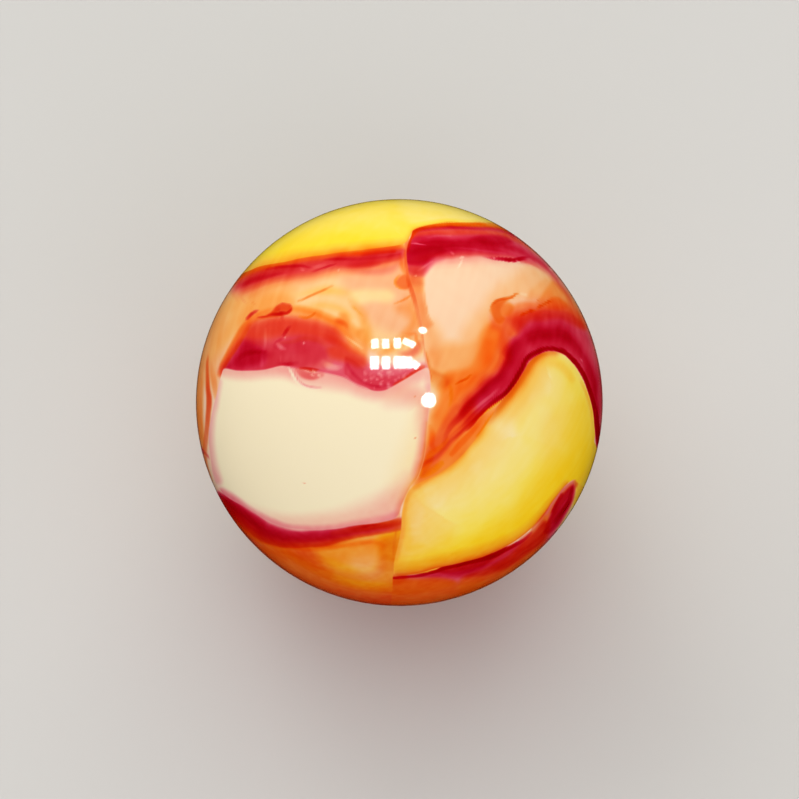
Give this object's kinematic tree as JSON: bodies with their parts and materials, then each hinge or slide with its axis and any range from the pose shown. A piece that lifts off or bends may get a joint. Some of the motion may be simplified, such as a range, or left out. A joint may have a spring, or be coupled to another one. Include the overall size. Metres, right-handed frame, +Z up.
{
  "type": "glass marble",
  "caption": "Round glass playing marble, one solid ball of opaque white and yellow glass swirled with orange and oxblood red.",
  "frame": {"origin": "centre of the ball", "axes": "+Z up from the point where the ball rests, +Y away from the viewer of its best face, +X to that viewer's right; the best face looks up and forward, 64 degrees above -Y"},
  "size_m": [0.016, 0.016, 0.016],
  "materials": {
    "swirl_glass": "fire-polished gloss, opaque white and yellow glass with orange and oxblood swirls"
  },
  "bodies": {
    "root": {"marble": "swirl_glass"}
  },
  "joints": []
}
